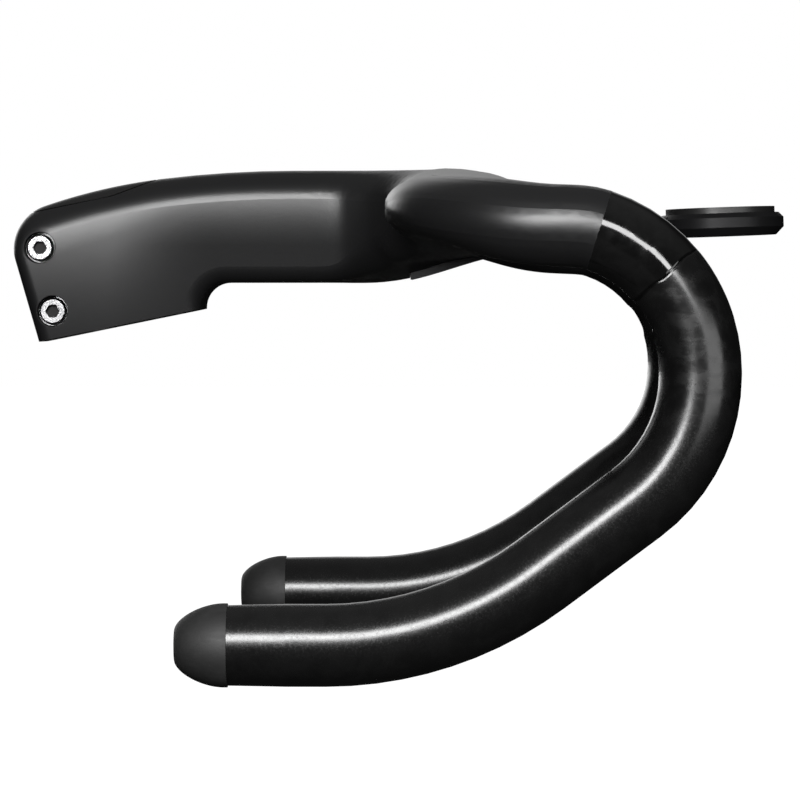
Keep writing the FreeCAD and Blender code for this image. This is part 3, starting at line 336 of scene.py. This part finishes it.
FINISHES = {
    "carbon_moulding": carbon(),
    "black_plastic": plastic(),
    "plug_rubber": rubber(),
    "anodised_aluminium": anodised(),
    "bright_steel": turned("bright_steel", grey(0.62, 0.01), grey(0.50, 0.01), 0.16, BOLT_FACE),
    "dull_steel": turned("dull_steel", grey(0.52, 0.01), grey(0.40, 0.01), 0.36),
    "black_screws": turned("black_screws", grey(0.045, 0.002), grey(0.028, 0.002), 0.34),
    "insert_brass": turned("insert_brass", rgb(0.72, 0.54, 0.25), rgb(0.58, 0.42, 0.18), 0.30),
}
for part in frame["record"]["subparts"]:
    node = frame["nodes"][part["node"]]
    node.data.materials.clear()
    node.data.materials.append(FINISHES[part["material_slot"]])


# Floor, background, camera and lamps.

def make_floor():
    """A pale floor that glows for the camera. To other rays it is dark, so it hardly lights the object."""
    look = Finish("pale_floor", Roughness=0.9, Specular_IOR_Level=0.0, Emission_Color=grey(1.0))
    camera_ray = look.node("ShaderNodeLightPath").outputs["Is Camera Ray"]
    reach = look.node("ShaderNodeVectorMath", operation="LENGTH")
    look.feed(reach.inputs[0], look.place)
    glow = look.spread(reach.outputs["Value"], *FLOOR_GLOW, 0.80, 1.0, blend="LINEAR")
    pale = look.set(
        Base_Color=look.tint(camera_ray, grey(0.03), grey(0.9)),
        Emission_Strength=look.times(camera_ray, glow))

    mesh = bpy.data.meshes.new("floor")
    signs = ((-1, -1), (1, -1), (1, 1), (-1, 1))
    corners = [(across * FLOOR_HALF, along * FLOOR_HALF, FLOOR_LEVEL) for across, along in signs]
    mesh.from_pydata(corners, [], [(0, 1, 2, 3)])
    mesh.materials.append(pale)
    floor = bpy.data.objects.new("floor", mesh)
    scene.collection.objects.link(floor)


def make_world():
    """White to the camera and through clear things. To the object, a dark room that is paler overhead.
    Its gloss also shows a panel, which stands behind it and is brightest at the left."""
    world = bpy.data.worlds.new("studio")
    scene.world = world
    world.use_nodes = True
    room = Nodes(world.node_tree)
    background = world.node_tree.nodes["Background"]
    background.inputs["Color"].default_value = grey(1.0)
    ray = room.node("ShaderNodeLightPath").outputs
    # x, y and z are the direction's, and the numbers after each range are strengths.
    x, y, z = room.axes(room.node("ShaderNodeTexCoord").outputs["Generated"])
    above = room.times(
        room.spread(z, 0.03, 0.12, 0.0, 0.9), room.spread(z, 0.35, 0.65, 1.0, 0.0),
        room.spread(x, 0.00, 0.30, 1.0, 0.0))
    beside = room.times(
        room.spread(z, -0.20, -0.04), room.spread(z, 0.28, 0.48, 1.0, 0.0),
        room.spread(x, -0.25, -0.05, 2.2, 0.0))
    panel = room.times(room.most(above, beside), room.spread(y, 0.55, 0.80), ray["Is Glossy Ray"])
    overhead = room.spread(z, 0.45, 0.90, 0.010, 0.16)
    white = room.most(ray["Is Camera Ray"], ray["Is Transmission Ray"])
    room.feed(background.inputs["Strength"], room.most(white, room.plus(panel, overhead)))


def make_camera():
    """The photograph's long lens, level with the bar and 2 m to its right."""
    data = bpy.data.cameras.new("camera")
    data.sensor_width = 36.0
    data.lens = data.sensor_width * FOCAL_LENGTH / PICTURE_WIDTH
    data.clip_end = 200.0
    camera = bpy.data.objects.new("camera", data)
    camera.location = CAMERA_PLACE
    camera.rotation_mode = "QUATERNION"
    middle = Vector((PICTURE_MIDDLE[0], FOCAL_LENGTH, PICTURE_MIDDLE[1]))
    camera.rotation_quaternion = middle.to_track_quat("-Z", "Y")
    scene.collection.objects.link(camera)
    scene.camera = camera


def make_lamp(name, place, target, size, slant, power):
    """A rectangular lamp that faces a target and is turned by its slant, in degrees."""
    data = bpy.data.lights.new(name, "AREA")
    data.shape = "RECTANGLE"
    data.size, data.size_y = size
    data.energy = power
    lamp = bpy.data.objects.new(name, data)
    lamp.location = place
    lamp.rotation_mode = "QUATERNION"
    aim = (Vector(target) - Vector(place)).to_track_quat("-Z", "Y")
    lamp.rotation_quaternion = aim @ Quaternion((0.0, 0.0, 1.0), math.radians(slant))
    scene.collection.objects.link(lamp)


make_floor()
make_world()
make_camera()
make_lamp("strip_at_left", place=(-0.17, -1.55, 0.43), target=(0.12, -0.15, -0.03),
          size=(0.80, 0.36), slant=44.0, power=27.0)
make_lamp("strip_at_right", place=(0.42, -1.55, 0.52), target=(0.14, -0.15, -0.03),
          size=(0.62, 0.34), slant=-19.0, power=12.0)
make_lamp("panel_at_right", place=(1.28, -1.40, 0.05), target=(0.17, -0.20, 0.0),
          size=(1.3, 0.7), slant=0.0, power=9.5)
